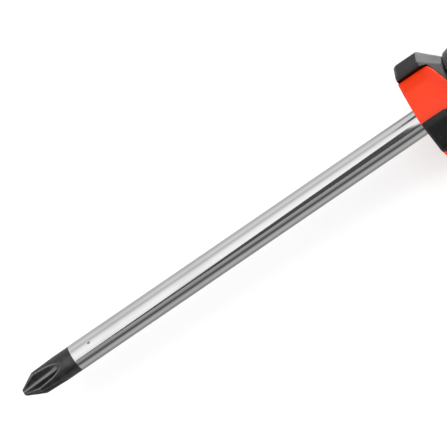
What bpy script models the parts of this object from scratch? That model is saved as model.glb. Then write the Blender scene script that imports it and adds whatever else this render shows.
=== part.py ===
"""A cross-head screwdriver with a moulded two-colour handle.

Metres, +Z up. The tool lies along +X, with the middle of its blunt tip at the origin. Angles round
the tool run from +Z towards +Y. Lengths called "back" are measured along the handle from the
guard's front face. The handle repeats every quarter turn: a red panel faces +Z, +Y, -Z and -Y, and
a black lobe stands between each two.
"""

import math

import bmesh
import bpy

MM = 0.001
QUARTER = math.pi / 2
GAP = 0.3 * MM  # between two pieces that touch

# Driving dimensions
SHAFT_RADIUS = 3.0 * MM
EXPOSED_LENGTH = 105.35 * MM
HANDLE_LENGTH = 108.0 * MM
GUARD_RADIUS = 13.0 * MM
NECK_RADIUS = 8.6 * MM
BELLY_RADIUS = 15.4 * MM

# Cross tip: a cone cut by four round-bottomed flutes
TIP_RADIUS = 0.78 * MM
CONE_LENGTH = 3.9 * MM
FLUTE_ANGLE = math.radians(-9.5)
FLUTE_FLOOR = 0.62 * MM
FLUTE_ROUND = 0.9 * MM
FLUTE_HALF_OPENING = math.radians(49)
FLUTE_SLOPE = math.tan(math.radians(8))
FLUTE_BEND = 7.0 * MM
FLUTE_BEND_RADIUS = 6.0 * MM
FLUTE_END = 10.4 * MM

# Tang, inside the handle
TANG_LENGTH = 60.0 * MM
WING_START = 34.0 * MM
WING_END = 50.0 * MM
WING_TAPER = 4.0 * MM
WING_HALF_SPAN = 4.2 * MM
WING_THICKNESS = 1.6 * MM

# Guard
LOBE_APOTHEM = 12.7 * MM
LOBE_FACE_HALF_ANGLE = math.radians(12.7)
LOBE_BEVEL_ANGLE = math.radians(22.5)
GUARD_BEVEL = 0.85 * MM
GUARD_FLAT_LENGTH = 5.5 * MM
GUARD_BACK_SLOPE = 0.99
GUARD_LENGTH = 9.7 * MM

# Red panels let into the guard: ramps that sink towards the neck
RAMP_HEIGHT = 10.9 * MM
RAMP_SLOPE = math.tan(math.radians(11))
PANEL_HALF_WIDTH = 5.4 * MM
PANEL_THICKNESS = 2.6 * MM
LEG_HALF_WIDTH = 2.2 * MM
LEG_LOW = 6.3 * MM
LEG_HIGH = 7.4 * MM
LEG_START = 6.8 * MM
LEG_END = 11.5 * MM

# Inner core behind the guard
CORE_RADIUS = 6.0 * MM
CORE_LENGTH = 70.0 * MM

# Grip outline: a lip at the neck, a belly, a waist and a bulge before the round end
LIP_RADIUS = 9.3 * MM
LIP_LENGTH = 0.5 * MM
BELLY_BACK = 50.0 * MM
WAIST_BACK = 84.0 * MM
WAIST_RADIUS = 13.1 * MM
BULGE_BACK = 96.0 * MM
BULGE_RADIUS = 13.7 * MM
ROUND_BACK = 101.0 * MM
ROUND_LENGTH = 8.2 * MM
SQUARENESS = 0.045
GRIP_END = 88.0 * MM
GRIP_FRONT_THICKNESS = 1.4 * MM
GRIP_THICKNESS = 3.0 * MM
THICKENING_LENGTH = 20.0 * MM

# Red windows in the grip
WINDOW_MIDDLE = 50.0 * MM
WINDOW_HALF_LENGTH = 27.0 * MM
WINDOW_HALF_WIDTH = 4.0 * MM

# Rear end
HOLE_BACK = 98.6 * MM
HOLE_RADIUS = 3.4 * MM
CAP_RADIUS = 6.6 * MM
CAP_DEPTH = 3.0 * MM
CROSS_HALF_LENGTH = 3.4 * MM
CROSS_HALF_WIDTH = 0.7 * MM
CROSS_DEPTH = 0.5 * MM

BELLY_SIDES = 48
GUARD_X = EXPOSED_LENGTH
END_X = EXPOSED_LENGTH + HANDLE_LENGTH


def clear_scene():
    for obj in list(bpy.data.objects):
        bpy.data.objects.remove(obj, do_unlink=True)


def plain_material(name, colour, roughness, metallic=0.0):
    material = bpy.data.materials.new(name)
    material.use_nodes = True
    shader = material.node_tree.nodes["Principled BSDF"]
    shader.inputs["Base Color"].default_value = (*colour, 1.0)
    shader.inputs["Roughness"].default_value = roughness
    shader.inputs["Metallic"].default_value = metallic
    return material


def add_object(name, bm, material=None):
    mesh = bpy.data.meshes.new(name)
    bm.to_mesh(mesh)
    bm.free()
    mesh.shade_smooth()
    mesh.set_sharp_from_angle(angle=math.radians(30))
    obj = bpy.data.objects.new(name, mesh)
    bpy.context.scene.collection.objects.link(obj)
    if material:
        mesh.materials.append(material)
    else:
        obj.hide_render = True
        obj.display_type = "WIRE"
    return obj


def combine(target, other, operation):
    modifier = target.modifiers.new(other.name, "BOOLEAN")
    modifier.operation = operation
    modifier.object = other


def around(x, radius, angle):
    return (x, radius * math.sin(angle), radius * math.cos(angle))


def loft(name, stations, angles, material=None):
    """A closed solid round the X axis. Each station is (x, function of the angle giving the radius)."""
    bm = bmesh.new()
    rings = [[bm.verts.new(around(x, radius(a), a)) for a in angles] for x, radius in stations]
    for near, far in zip(rings, rings[1:]):
        for i in range(len(angles)):
            j = (i + 1) % len(angles)
            bm.faces.new((near[i], far[i], far[j], near[j]))
    bm.faces.new(rings[0])
    bm.faces.new(reversed(rings[-1]))
    return add_object(name, bm, material)


def turned(name, outline, sides, material=None):
    """A solid of revolution round the X axis, from (x, radius) pairs."""
    stations = [(x, lambda angle, radius=radius: radius) for x, radius in outline]
    return loft(name, stations, even_angles(sides), material)


def prisms(name, outline, low, high, material=None, turns=(0, 1, 2, 3)):
    """Upright prisms over an outline of (x, y) points, copied by quarter turns round the X axis.

    low and high give the height at (x, y). The outline runs anticlockwise as seen from +Z.
    """
    bm = bmesh.new()
    for turn in turns:
        cos, sin = math.cos(turn * QUARTER), math.sin(turn * QUARTER)

        def corner(x, y, z):
            return bm.verts.new((x, y * cos + z * sin, z * cos - y * sin))

        bottom = [corner(x, y, low(x, y)) for x, y in outline]
        top = [corner(x, y, high(x, y)) for x, y in outline]
        bm.faces.new(reversed(bottom))
        bm.faces.new(top)
        for i in range(len(outline)):
            j = (i + 1) % len(outline)
            bm.faces.new((bottom[i], bottom[j], top[j], top[i]))
    bmesh.ops.triangulate(bm, faces=[f for f in bm.faces if len(f.verts) > 4])
    return add_object(name, bm, material)


def box(name, corner, opposite, turns=(0,)):
    x0, y0, z0 = corner
    x1, y1, z1 = opposite
    outline = [(x0, y0), (x1, y0), (x1, y1), (x0, y1)]
    return prisms(name, outline, lambda x, y: z0, lambda x, y: z1, turns=turns)


def even_angles(count):
    return [math.tau * i / count for i in range(count)]


def spread(start, end, count):
    """count + 1 evenly spaced values from start to end."""
    return [start + (end - start) * i / count for i in range(count + 1)]


# Blade


def flute_radius(x, off):
    """How far the steel reaches at an angle off the middle of a flute."""
    floor = FLUTE_FLOOR + x * FLUTE_SLOPE
    floor += max(0.0, x - FLUTE_BEND) ** 2 / (2 * FLUTE_BEND_RADIUS)
    centre = floor + FLUTE_ROUND
    tangent_side = FLUTE_ROUND * math.cos(FLUTE_HALF_OPENING)
    tangent_height = centre - FLUTE_ROUND * math.sin(FLUTE_HALF_OPENING)
    if off < math.atan2(tangent_side, tangent_height):
        reach = FLUTE_ROUND**2 - (centre * math.sin(off)) ** 2
        return centre * math.cos(off) - math.sqrt(max(reach, 0.0))
    apex = centre - FLUTE_ROUND / math.sin(FLUTE_HALF_OPENING)
    closing = math.cos(off) - math.sin(off) / math.tan(FLUTE_HALF_OPENING)
    return apex / closing if closing > 0.01 else math.inf


def tip_radius(x, angle):
    outer = min(TIP_RADIUS + (SHAFT_RADIUS - TIP_RADIUS) * x / CONE_LENGTH, SHAFT_RADIUS)
    off = abs((angle - FLUTE_ANGLE + QUARTER / 2) % QUARTER - QUARTER / 2)
    return min(outer, flute_radius(x, off))


def wing_outline(margin):
    start = GUARD_X + WING_START - margin
    end = GUARD_X + WING_END + margin
    span = WING_HALF_SPAN + margin
    return [
        (start, -SHAFT_RADIUS),
        (start + WING_TAPER, -span),
        (end - WING_TAPER, -span),
        (end, -SHAFT_RADIUS),
        (end, SHAFT_RADIUS),
        (end - WING_TAPER, span),
        (start + WING_TAPER, span),
        (start, SHAFT_RADIUS),
    ]


def wings(name, margin):
    half = WING_THICKNESS / 2 + margin
    return prisms(name, wing_outline(margin), lambda x, y: -half, lambda x, y: half, turns=(0,))


def make_blade():
    tip = spread(0, CONE_LENGTH, 6) + spread(CONE_LENGTH, FLUTE_END, 11)[1:]
    stations = [(x, lambda angle, x=x: tip_radius(x, angle)) for x in tip]
    stations.append((GUARD_X, lambda angle: SHAFT_RADIUS))
    stations.append((GUARD_X + TANG_LENGTH - GAP, lambda angle: SHAFT_RADIUS))
    stations.append((GUARD_X + TANG_LENGTH, lambda angle: SHAFT_RADIUS - GAP))
    steel = plain_material("blade_steel", (0.62, 0.62, 0.61), 0.12, 1.0)
    angles = [FLUTE_ANGLE + angle for angle in even_angles(64)]
    blade = loft("blade", stations, angles, steel)
    combine(blade, wings("tang_wings", 0.0), "UNION")


# Guard and inner core


def lobe_radius(angle):
    """The guard's outline: a flat face on each lobe, with a bevel down each of its long sides."""
    off = abs(angle % QUARTER - QUARTER / 2)
    corner_radius = LOBE_APOTHEM / math.cos(LOBE_FACE_HALF_ANGLE)
    bevel_apothem = corner_radius * math.cos(LOBE_BEVEL_ANGLE - LOBE_FACE_HALF_ANGLE)
    return min(LOBE_APOTHEM / math.cos(off), bevel_apothem / math.cos(LOBE_BEVEL_ANGLE - off))


def cone_radius(back):
    return GUARD_RADIUS - (back - GUARD_FLAT_LENGTH) * GUARD_BACK_SLOPE


def guard_radius(back, angle):
    front = lobe_radius(angle) - max(0.0, GUARD_BEVEL - back)
    return max(min(front, cone_radius(back)), NECK_RADIUS)


def guard_angles():
    lobe_half = (LOBE_FACE_HALF_ANGLE, math.radians(19.5), math.radians(32))
    offs = [side * half for half in lobe_half for side in (-1, 1)] + [0.0, QUARTER / 2]
    return sorted((QUARTER / 2 + turn * QUARTER + off) % math.tau for off in offs for turn in range(4))


def panel_end(y):
    """Where a panel's ramp meets the cone at the guard's back, at a distance y from its middle line."""
    reach = GUARD_RADIUS + GUARD_FLAT_LENGTH * GUARD_BACK_SLOPE
    linear = reach * GUARD_BACK_SLOPE - RAMP_HEIGHT * RAMP_SLOPE
    square = GUARD_BACK_SLOPE**2 - RAMP_SLOPE**2
    constant = reach**2 - RAMP_HEIGHT**2 - y**2
    return (linear - math.sqrt(linear**2 - square * constant)) / square


def panel_outline(margin, front):
    """The panel seen from above, grown by a margin: straight sides and an arched back end."""
    half = PANEL_HALF_WIDTH + margin
    arch = [(GUARD_X + panel_end(y) + margin, y) for y in spread(-half, half, 12)]
    return [(GUARD_X + front, -half)] + arch + [(GUARD_X + front, half)]


def ramp(x):
    return RAMP_HEIGHT - (x - GUARD_X) * RAMP_SLOPE


def make_core():
    backs = [0.0, GUARD_BEVEL, 3.5 * MM] + spread(GUARD_FLAT_LENGTH, 9.4 * MM, 7) + [GUARD_LENGTH]
    stations = [(GUARD_X + back, lambda a, back=back: guard_radius(back, a)) for back in backs]
    stations.append((GUARD_X + GUARD_LENGTH, lambda a: CORE_RADIUS))
    stations.append((GUARD_X + CORE_LENGTH, lambda a: CORE_RADIUS))
    plastic = plain_material("core_plastic", (0.03, 0.03, 0.032), 0.35)
    core = loft("handle_core", stations, guard_angles(), plastic)

    bore_end = GUARD_X + TANG_LENGTH + GAP
    bore = [(GUARD_X - MM, SHAFT_RADIUS + GAP), (bore_end, SHAFT_RADIUS + GAP)]
    combine(core, turned("tang_bore", bore, 32), "DIFFERENCE")
    combine(core, wings("wing_slots", GAP), "DIFFERENCE")
    recess = prisms(
        "panel_recesses",
        panel_outline(GAP, -MM),
        lambda x, y: ramp(x) - PANEL_THICKNESS - GAP,
        lambda x, y: GUARD_RADIUS + MM,
    )
    combine(core, recess, "DIFFERENCE")
    tunnels = box(
        "leg_tunnels",
        (GUARD_X + LEG_START - GAP, -LEG_HALF_WIDTH - GAP, LEG_LOW - GAP),
        (GUARD_X + GUARD_LENGTH + MM, LEG_HALF_WIDTH + GAP, LEG_HIGH + GAP),
        turns=range(4),
    )
    combine(core, tunnels, "DIFFERENCE")


# Outline shared by the grip and the shell under it


def ease(part):
    return 0.5 - 0.5 * math.cos(math.pi * part)


def outline_radius(back):
    if back < BELLY_BACK:
        part = (back - GUARD_LENGTH) / (BELLY_BACK - GUARD_LENGTH)
        return LIP_RADIUS + (BELLY_RADIUS - LIP_RADIUS) * math.sin(part * math.pi / 2)
    if back < WAIST_BACK:
        part = (back - BELLY_BACK) / (WAIST_BACK - BELLY_BACK)
        return BELLY_RADIUS + (WAIST_RADIUS - BELLY_RADIUS) * ease(part)
    part = min((back - WAIST_BACK) / (BULGE_BACK - WAIST_BACK), 1.0)
    radius = WAIST_RADIUS + (BULGE_RADIUS - WAIST_RADIUS) * ease(part)
    rounding = max(0.0, back - ROUND_BACK) / ROUND_LENGTH
    return radius * math.sqrt(1 - rounding**2)


def handle_radius(back, angle):
    """A circle at both ends, and squarer at the belly, with its flats on the red panels' sides."""
    along = (back - GUARD_LENGTH) / (HANDLE_LENGTH - GUARD_LENGTH)
    square = SQUARENESS * math.sin(math.pi * along)
    return outline_radius(back) * (1 - square * math.cos(4 * angle))


def grip_depth(back):
    part = min((back - GUARD_LENGTH) / THICKENING_LENGTH, 1.0)
    return GRIP_FRONT_THICKNESS + (GRIP_THICKNESS - GRIP_FRONT_THICKNESS) * ease(part)


def handle_stations(backs, lower=lambda back: 0.0):
    return [
        (GUARD_X + back, lambda a, back=back: handle_radius(back, a) - lower(back)) for back in backs
    ]


def window_outline(margin):
    """A long lens, blunt at both ends."""
    length = WINDOW_HALF_LENGTH + margin
    parts = spread(-0.96, 0.96, 16)
    lower = [(part, -1) for part in parts]
    upper = [(part, 1) for part in reversed(parts)]
    return [
        (
            GUARD_X + WINDOW_MIDDLE + part * length,
            side * (WINDOW_HALF_WIDTH * (1 - part**2) + margin),
        )
        for part, side in lower + upper
    ]


def window_prisms(name, margin):
    return prisms(
        name,
        window_outline(margin),
        lambda x, y: CORE_RADIUS + 2 * MM,
        lambda x, y: BELLY_RADIUS + 3 * MM,
    )


def make_grip():
    start = GUARD_LENGTH + GAP
    backs = [start + LIP_LENGTH] + spread(start + 2 * MM, GRIP_END, 22)
    stations = handle_stations(backs)
    stations.insert(0, (GUARD_X + start, lambda a: NECK_RADIUS))
    soft = plain_material("grip_rubber", (0.02, 0.02, 0.021), 0.6)
    grip = loft("grip_sleeve", stations, even_angles(BELLY_SIDES), soft)
    inside = [start - GAP] + spread(start + 1 * MM, GRIP_END + MM, 14)
    bore = loft(
        "grip_inside", handle_stations(inside, grip_depth), even_angles(BELLY_SIDES)
    )
    combine(grip, bore, "DIFFERENCE")
    combine(grip, window_prisms("grip_windows", GAP), "DIFFERENCE")


def make_shell():
    start = GUARD_LENGTH + GAP
    under = [start] + spread(start + 1 * MM, GRIP_END + GAP, 14)
    stations = handle_stations(under, lambda back: grip_depth(back) + GAP)
    rear = [GRIP_END + GAP, 92 * MM, 96 * MM] + spread(ROUND_BACK, HANDLE_LENGTH, 6)
    stations += handle_stations(rear)
    plastic = plain_material("shell_plastic", (0.85, 0.06, 0.02), 0.3)
    shell = loft("colour_shell", stations, even_angles(BELLY_SIDES), plastic)

    core_end = GUARD_X + CORE_LENGTH + GAP
    bore = [(GUARD_X, CORE_RADIUS + GAP), (core_end, CORE_RADIUS + GAP)]
    combine(shell, turned("core_bore", bore, 32), "DIFFERENCE")

    skin = [WINDOW_MIDDLE + part * (WINDOW_HALF_LENGTH + MM) for part in spread(-1, 1, 14)]
    islands = window_prisms("window_islands", 0.0)
    envelope = loft("window_skin", handle_stations(skin), even_angles(BELLY_SIDES))
    combine(islands, envelope, "INTERSECT")
    combine(shell, islands, "UNION")

    panels = prisms(
        "guard_panels",
        panel_outline(0.0, 0.0),
        lambda x, y: ramp(x) - PANEL_THICKNESS,
        lambda x, y: ramp(x),
    )
    legs = box(
        "panel_legs",
        (GUARD_X + LEG_START, -LEG_HALF_WIDTH, LEG_LOW),
        (GUARD_X + LEG_END, LEG_HALF_WIDTH, LEG_HIGH),
        turns=range(4),
    )
    combine(panels, legs, "UNION")
    combine(shell, panels, "UNION")

    hole = prisms(
        "hanging_hole",
        [
            (GUARD_X + HOLE_BACK + HOLE_RADIUS * math.cos(a), HOLE_RADIUS * math.sin(a))
            for a in even_angles(32)
        ],
        lambda x, y: -BELLY_RADIUS,
        lambda x, y: BELLY_RADIUS,
        turns=(1,),
    )
    combine(shell, hole, "DIFFERENCE")
    recess = [(END_X - CAP_DEPTH - GAP, CAP_RADIUS + GAP), (END_X + MM, CAP_RADIUS + GAP)]
    combine(shell, turned("cap_recess", recess, 48), "DIFFERENCE")


def make_end_cap():
    plastic = plain_material("cap_plastic", (0.03, 0.03, 0.032), 0.4)
    outline = [(END_X - CAP_DEPTH, CAP_RADIUS), (END_X - GAP, CAP_RADIUS), (END_X, CAP_RADIUS - GAP)]
    cap = turned("end_cap", outline, 48, plastic)
    long_way = (CROSS_HALF_LENGTH, CROSS_HALF_WIDTH)
    for name, (half_y, half_z) in (("cross_bar", long_way), ("cross_upright", long_way[::-1])):
        bar = box(name, (END_X - CROSS_DEPTH, -half_y, -half_z), (END_X + MM, half_y, half_z))
        combine(cap, bar, "DIFFERENCE")


clear_scene()
make_blade()
make_core()
make_shell()
make_grip()
make_end_cap()
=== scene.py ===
"""Looks for the cross-head screwdriver: fine surfaces, materials, a pale floor and studio light.

Metres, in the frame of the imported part: the tool lies along +X with its blunt tip at the origin.
Angles round the tool run from +Z towards +Y, and "back" is the distance along the handle behind
the guard's front face. The handle repeats every quarter turn.
"""

import math

import bpy
from mathutils import Matrix, Vector


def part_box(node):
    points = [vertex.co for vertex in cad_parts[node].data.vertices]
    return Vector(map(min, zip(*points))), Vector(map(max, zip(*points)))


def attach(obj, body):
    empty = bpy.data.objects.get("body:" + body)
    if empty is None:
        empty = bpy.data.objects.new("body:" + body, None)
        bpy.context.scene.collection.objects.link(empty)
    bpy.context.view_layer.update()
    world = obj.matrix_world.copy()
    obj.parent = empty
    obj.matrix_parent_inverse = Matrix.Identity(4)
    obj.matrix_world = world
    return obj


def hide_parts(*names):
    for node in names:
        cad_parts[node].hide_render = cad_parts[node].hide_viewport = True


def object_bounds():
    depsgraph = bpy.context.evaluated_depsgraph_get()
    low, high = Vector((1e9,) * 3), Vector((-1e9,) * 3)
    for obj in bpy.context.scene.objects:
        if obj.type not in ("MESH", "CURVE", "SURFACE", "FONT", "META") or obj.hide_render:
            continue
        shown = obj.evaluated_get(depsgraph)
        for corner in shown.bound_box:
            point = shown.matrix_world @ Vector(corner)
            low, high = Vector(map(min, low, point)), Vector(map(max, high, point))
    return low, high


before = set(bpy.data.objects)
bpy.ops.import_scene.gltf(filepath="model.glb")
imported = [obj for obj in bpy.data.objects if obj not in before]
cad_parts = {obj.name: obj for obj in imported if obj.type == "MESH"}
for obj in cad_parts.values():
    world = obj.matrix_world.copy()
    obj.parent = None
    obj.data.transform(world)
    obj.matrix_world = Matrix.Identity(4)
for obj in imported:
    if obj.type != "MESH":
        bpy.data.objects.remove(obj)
cad_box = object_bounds()

MM = 0.001
QUARTER = math.pi / 2
GAP = 0.15 * MM  # the fine gap between two mouldings
HIDDEN_GAP = 0.3 * MM  # the wider gap where one moulding ends against the next
TINY = 1e-6
SHARP_ANGLE = math.radians(40)
ROUND_SIDES = 192  # points in a full ring
BISECT_STEPS = 30

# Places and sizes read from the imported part
SHAFT_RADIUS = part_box("blade")[1].z
TANG_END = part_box("blade")[1].x
WING_HALF_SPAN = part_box("blade")[1].y
GUARD_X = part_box("handle_core")[0].x
CORE_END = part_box("handle_core")[1].x - GUARD_X
GRIP_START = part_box("grip_sleeve")[0].x - GUARD_X
GRIP_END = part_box("grip_sleeve")[1].x - GUARD_X
CAP_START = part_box("end_cap")[0].x
CAP_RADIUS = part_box("end_cap")[1].z
END_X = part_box("colour_shell")[1].x
FLOOR_Z = cad_box[0].z
HANDLE_LENGTH = END_X - GUARD_X

# Cross tip
TIP_RADIUS = 0.78 * MM
TIP_ROUNDING = 0.2 * MM
CONE_LENGTH = 3.9 * MM
CONE_BLEND = 0.15 * MM
FLUTE_ANGLE = math.radians(-9.5)
FLUTE_FLOOR = 0.62 * MM
FLUTE_ROUND = 0.9 * MM
FLUTE_HALF_OPENING = math.radians(49)
FLUTE_SLOPE = math.tan(math.radians(8))
FLUTE_BEND = 7.0 * MM
FLUTE_BEND_RADIUS = 6.0 * MM
FLUTE_END = 10.8 * MM
FLUTE_FLOOR_ANGLES = (math.radians(5), math.radians(14))  # where a floor's painted highlight fades out
FLUTE_FLOOR_FADE = (2.0 * MM, 0.8 * MM)  # before the flutes' end
LEAST_CLOSING = 0.05  # below this a flute's side has run past the shaft's outside
NO_FLUTE = 1.0  # metres, which is outside any part of the tool
RIDGE_ROUNDING = 0.12 * MM
BLACK_LENGTH = 13.55 * MM
PLATING_STEP = 0.03 * MM
PLATING_RAMP = 0.15 * MM
BLACK_RADIUS = SHAFT_RADIUS - PLATING_STEP
PUNCH_MARK = (18.2 * MM, math.radians(0.0))
PUNCH_SIZE = 0.5 * MM
PUNCH_DEPTH = 0.16 * MM
PUNCH_STRETCH = 1.3  # how much shorter the dent is round the shaft than along it

# Tang
WING_HALF_THICKNESS = 0.8 * MM
WING_START = 34.0 * MM
WING_END = 46.0 * MM
WING_RAMP = 4.0 * MM
TANG_CHAMFER = 0.3 * MM
TANG_RINGS = (30.0 * MM, 54.0 * MM, 24)  # start, end and number of steps

# Where rings of points lie along the blade
BLADE_SHARP_ANGLE = math.radians(60)
TIP_FINE_LENGTH = 0.3 * MM
TIP_FINE_STEPS = 6
FLUTE_STEPS = 95
BEHIND_FLUTES = 11.0 * MM
PLATING_FINE_LENGTH = 0.2 * MM
PLATING_STEPS = 4
BEHIND_PLATING = 15.0 * MM
PUNCH_FINE_REACH = 0.6 * MM
PUNCH_STEPS = 16
BEHIND_PUNCH = 20.0 * MM
INSIDE_GUARD = 1.0 * MM
SHAFT_STEPS = 12

# Guard
GUARD_RADIUS = 13.0 * MM
LOBE_APOTHEM = 12.7 * MM
LOBE_FACE_HALF_ANGLE = math.radians(12.7)
LOBE_BEVEL_ANGLE = math.radians(22.5)
LOBE_ROUNDING = 0.22 * MM
FRONT_BEVEL_LENGTH = 0.7 * MM
FRONT_BEVEL_DEPTH = 0.3 * MM
FRONT_ROUNDING = 0.12 * MM
CONE_EDGE_ROUNDING = 0.12 * MM
FACET_HALF_ANGLE = math.radians(10)
FACET_BLEND_ANGLE = math.radians(12)
GUARD_FLAT_LENGTH = 5.5 * MM
GUARD_BACK_SLOPE = 0.99
GUARD_LENGTH = GRIP_START - HIDDEN_GAP
GUARD_FRONT_RINGS = (0.0, 0.03, 0.07, 0.12, 0.3, 0.5, 0.65, 0.75, 0.85, 1.1, 2.2, 3.5, 4.6)  # mm
GUARD_FRONT_LENGTH = 5.0 * MM
PANEL_SIDE_STEPS = 12
ARCH_START = 0.03
ARCH_STEPS = 30
BEHIND_ARCH = 0.01 * MM
CONE_STEPS = 5
NECK_RADIUS = 8.6 * MM
NECK_BLEND = 0.4 * MM
BORE_MARGIN = 0.25 * MM
BORE_RADIUS = SHAFT_RADIUS + BORE_MARGIN
BORE_CHAMFER = 0.3 * MM

# Rings of points round the guard and the grip
WALL_ROUNDING = 0.15 * MM
WALL_PARTS = (0.0, 0.25, 0.5, 0.75, 1.0)
FACE_PARTS = (0.12, 0.3, 0.5, 0.75, 1.0)
FACE_MARGIN = math.radians(2.4)
CORNER_OFFSETS = (-1.6, -1.0, -0.5, 0, 0.5, 1.0, 1.6, 3, 6)  # degrees from a lobe face's long edge

# Red panels let into the guard: flat in front, falling towards the neck, and lower along their sides
PANEL_HEIGHT = 11.0 * MM
PANEL_SLOPE = 0.03
PANEL_LEAD = 0.25 * MM
PANEL_BEND = 4.5 * MM
PANEL_BEND_RADIUS = 8.0 * MM
PANEL_HALF_WIDTH = 5.45 * MM
PANEL_FLARE = 0.014
PANEL_THICKNESS = 2.4 * MM
PANEL_ROUNDING = 0.25 * MM
PANEL_END_SOFTNESS = 0.5
PANEL_STRIP_START = 2.5 * MM
PANEL_STRIP_SLOPE = math.tan(math.radians(9))
PANEL_STRIP_BLEND = 0.5 * MM
PANEL_BORDER_BLEND = 0.1 * MM
PANEL_FLOOR_GAP = 0.1 * MM
PANEL_STEPS = (40, 32)  # across and along

# Grip outline
CORE_RADIUS = 6.0 * MM
LIP_RADIUS = 9.3 * MM
LIP_ROUNDING = 0.6 * MM
LIP_RINGS = (0.0, 0.03, 0.1, 0.22, 0.4, 0.62, 1.0, 2.0)  # mm behind the grip's start
REAR_ROUNDING = 0.3 * MM
REAR_RINGS = (0.3, 0.2, 0.1, 0.04, 0.0)  # mm before the grip's end
BEHIND_LIP = 3.0 * MM
BESIDE_WINDOW = 0.1 * MM
BEFORE_REAR = 0.5 * MM
GRIP_STEPS = 8
GRIP_INSIDE = (0.0, 0.5 * MM, 2.0 * MM)  # behind the grip's start
GRIP_INSIDE_STEPS = 16
BELLY_BACK = 50.0 * MM
BELLY_RADIUS = 15.4 * MM
WAIST_BACK = 84.0 * MM
WAIST_RADIUS = 13.1 * MM
BULGE_BACK = 96.0 * MM
BULGE_RADIUS = 13.7 * MM
ROUND_BACK = 101.0 * MM
ROUND_LENGTH = 8.2 * MM
SQUARENESS = 0.045
GRIP_FRONT_THICKNESS = 1.4 * MM
GRIP_THICKNESS = 3.0 * MM
THICKENING_LENGTH = 20.0 * MM

# Red windows in the grip
WINDOW_MIDDLE = 50.0 * MM
WINDOW_HALF_LENGTH = 27.0 * MM
WINDOW_HALF_WIDTH = 4.0 * MM
WINDOW_DEPTH = 1.1 * MM
WINDOW_ROUNDING = 0.35 * MM
WINDOW_FLOOR_GAP = 0.25 * MM
WINDOW_TRIM = 0.997  # how near its rows of points come to a window's pointed ends, where 1 is on them
WINDOW_STEPS = (24, 96)  # across and along
WINDOW_RING_STEPS = 48

# Shell and rear end
SHELL_GAP = 0.2 * MM  # between the shell and the grip or the cap
SHELL_FIRST_STEP = 1.0 * MM
SHELL_STEPS = 20
COLLAR_STEPS = 14
END_STEPS = 20
COLLAR_ROUNDING = 0.35 * MM
COLLAR_RINGS = (0.0, 0.03, 0.1, 0.2, 0.35)  # mm behind the collar's start
RECESS_RADIUS = CAP_RADIUS + GAP
RIM_RINGS = (  # mm before the shell's end, and mm outside the recess
    (0.0, 0.35),
    (0.03, 0.2),
    (0.12, 0.06),
    (0.3, 0.0),
)
HOLE_BACK = 98.6 * MM
HOLE_RADIUS = 3.4 * MM
HOLE_ROUNDING = 0.7 * MM
HOLE_STEPS = 8
CUTTER_MARGIN = 2.0 * MM
CUTTER_FLARE = 1.5 * MM
CAP_ROUNDING = 0.35 * MM
CAP_STEPS = 6
CAP_SIDES = 128
CAP_FACE_RADII = (4.5 * MM, 2.5 * MM, 0.8 * MM)
CROSS_HALF_LENGTH = 3.4 * MM
CROSS_HALF_WIDTH = 0.7 * MM
CROSS_DEPTH = 0.5 * MM
CROSS_DRAFT = 0.15 * MM
CROSS_SIDES = 64
CROSS_ABOVE = (0.3 * MM, 0.1 * MM)  # how far its cutter stands out of the face, and grows there

# Camera: looking down on the tool, from a little to its side and behind
CAMERA_DISTANCE = 2.5
VIEW_WIDTH = 95.0 * MM
CAMERA_AIM = Vector((54.38, 9.50, -6.75)) * MM
CAMERA_LEAN = math.radians(24.5)
CAMERA_TILT = math.radians(10.5)
CAMERA_ROLL = math.radians(34.39)
CAMERA_REACH = (0.1, 20.0)  # metres: where its view starts and ends

# Colours
CHROME = (0.5, 0.5, 0.505)
DULL_CHROME = (0.46, 0.46, 0.462)
DENT_FLOOR = (0.19, 0.19, 0.185)
OXIDE = (0.036, 0.037, 0.039)
PALE_OXIDE = (0.052, 0.052, 0.052)
# A painted highlight: the lighter colour on the tip's sharp ridges and edges
RIDGE_HIGHLIGHT_COLOUR = (0.14, 0.14, 0.14)
# A painted highlight: the lighter colour along the flutes' floors
FLUTE_FLOOR_HIGHLIGHT = (0.15, 0.15, 0.146)
CORE_BLACK = (0.0035, 0.004, 0.004)
CORE_SCUFF = (0.02, 0.02, 0.02)
RED = (0.87, 0.042, 0.003)
DEEP_RED = (0.84, 0.037, 0.003)
GRIP_BLACK = (0.012, 0.012, 0.013)
GRIP_DUST = (0.021, 0.021, 0.022)
CAP_BLACK = (0.012, 0.012, 0.0125)
FLOOR_WHITE = (0.9, 0.9, 0.9)

# Studio: even daylight and one soft light from above, and what the shiny surfaces mirror
DAYLIGHT = 0.8
FLOOR_GLOW = 0.2
FLOOR_RADIUS = 4.0
FLOOR_DROP = 0.05 * MM
FLOOR_SIDES = 96
KEY_LIGHT = 1.05
KEY_WIDTH = math.radians(57)
DOME_RADIUS = 0.5
DOME_SIDES = 72
DOME_ENDS = ((-0.35, 1.2), (0.5, 0.9))  # metres along X, radiance
BRIGHTEST = 2.0
DOME_GLOW = (  # degrees round the tool, radiance
    (-180, 0.45),
    (-96, 0.5),
    (-94, 0.18),
    (-75, 0.18),
    (-71, 0.52),
    (-52, 0.6),
    (-50, 1.5),
    (-10, 1.8),
    (18, 1.6),
    (39.5, 0.9),
    (65.5, 1.28),
    (96.5, 0.88),
    (180, 0.9),
)
# The table is the floor as the shiny surfaces mirror it. It is darker just under the tool, from -13.5
# mm to 10 mm along Y: a painted shadow of the tool.
TABLE_GLOW = (  # metres along Y, radiance
    (-0.5, 0.18),
    (-0.156, 0.18),
    (-0.152, 0.5),
    (-0.066, 0.6),
    (-0.033, 0.8),
    (-0.021, 0.82),
    (-0.0135, 0.48),
    (0.01, 0.45),
    (0.03, 0.85),
    (0.5, 0.9),
)
TABLE_ENDS = (-0.5, 0.105)  # metres along X
TABLE_Z = -13.5 * MM
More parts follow.
